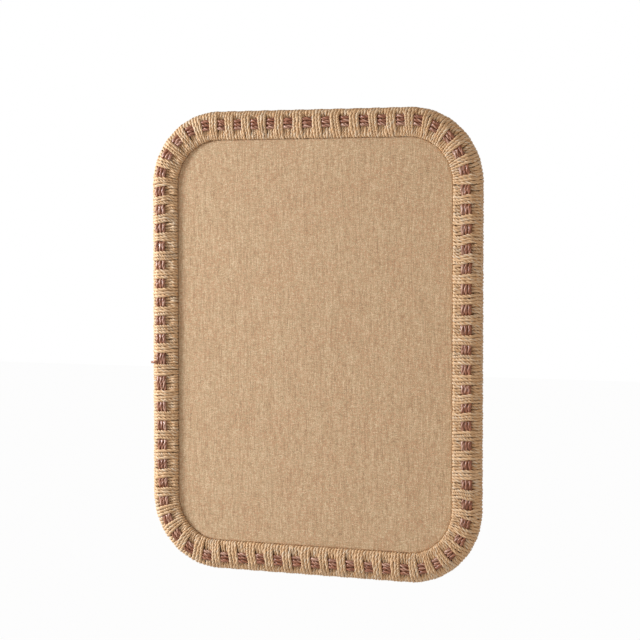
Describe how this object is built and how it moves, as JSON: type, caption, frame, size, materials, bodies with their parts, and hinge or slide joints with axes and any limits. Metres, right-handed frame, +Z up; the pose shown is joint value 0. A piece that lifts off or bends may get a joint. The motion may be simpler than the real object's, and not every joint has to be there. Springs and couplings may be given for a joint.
{
  "type": "bulletin board",
  "caption": "Wall-hung pin board: a round-cornered frame wound with pale twisted cord, brown cords woven along its face, and a recessed linen-covered pin panel.",
  "frame": {"origin": "middle of the board on the plane of the wall that it hangs on", "axes": "+X to the right seen from the front, +Z up, the pin face looks to -Y and the wall is at +Y"},
  "size_m": [0.5018, 0.03, 0.65],
  "materials": {
    "natural_cord": "pale straw twisted fibre cord, matt with a light sheen on the strands",
    "brown_cord": "reddish brown twisted paper cord, waxed",
    "linen": "coarse linen weave with slubs, matt",
    "cork": "pressed cork granules",
    "fibreboard": "raw medium density fibreboard",
    "plywood": "raw birch plywood",
    "steel": "zinc plated steel",
    "rubber": "black moulded rubber, matt"
  },
  "bodies": {
    "board": {"core_top_rail": "fibreboard", "core_top_right_corner": "fibreboard", "core_right_rail": "fibreboard", "core_bottom_right_corner": "fibreboard", "core_bottom_rail": "fibreboard", "core_bottom_left_corner": "fibreboard", "core_left_rail": "fibreboard", "core_top_left_corner": "fibreboard", "core_spline_1": "plywood", "core_spline_2": "plywood", "core_spline_3": "plywood", "core_spline_4": "plywood", "core_spline_5": "plywood", "core_spline_6": "plywood", "core_spline_7": "plywood", "core_spline_8": "plywood", "cord_wrap_top_rail": "natural_cord", "cord_wrap_top_right_corner": "natural_cord", "cord_wrap_right_rail": "natural_cord", "cord_wrap_bottom_right_corner": "natural_cord", "cord_wrap_bottom_rail": "natural_cord", "cord_wrap_bottom_left_corner": "natural_cord", "cord_wrap_left_rail": "natural_cord", "cord_wrap_top_left_corner": "natural_cord", "brown_cord_outer": "brown_cord", "brown_cord_middle": "brown_cord", "brown_cord_inner": "brown_cord", "brown_cord_tail": "brown_cord", "linen_cover": "linen", "cork_layer": "cork", "backing_board": "fibreboard", "panel_clip_top": "steel", "panel_clip_right_upper": "steel", "panel_clip_right_lower": "steel", "panel_clip_bottom": "steel", "panel_clip_left_lower": "steel", "panel_clip_left_upper": "steel", "clip_screw_top": "steel", "clip_screw_right_upper": "steel", "clip_screw_right_lower": "steel", "clip_screw_bottom": "steel", "clip_screw_left_lower": "steel", "clip_screw_left_upper": "steel", "hanger_screw_left": "steel", "hanger_screw_right": "steel", "wall_bumper_top_right": "rubber", "wall_bumper_bottom_right": "rubber", "wall_bumper_bottom_left": "rubber", "wall_bumper_top_left": "rubber", "hanger_strap_left": "steel", "hanger_strap_right": "steel"},
    "left_ring": {"hanger_ring_left": "steel"},
    "right_ring": {"hanger_ring_right": "steel"}
  },
  "joints": [
    {"name": "left_ring_swing", "type": "hinge", "parent": "board", "child": "left_ring", "pos_m": [-0.23, -0.0024, 0.1768], "axis": [1, 0, 0], "range_deg": [0, 180]},
    {"name": "right_ring_swing", "type": "hinge", "parent": "board", "child": "right_ring", "pos_m": [0.23, -0.0024, 0.1768], "axis": [1, 0, 0], "range_deg": [0, 180]}
  ]
}
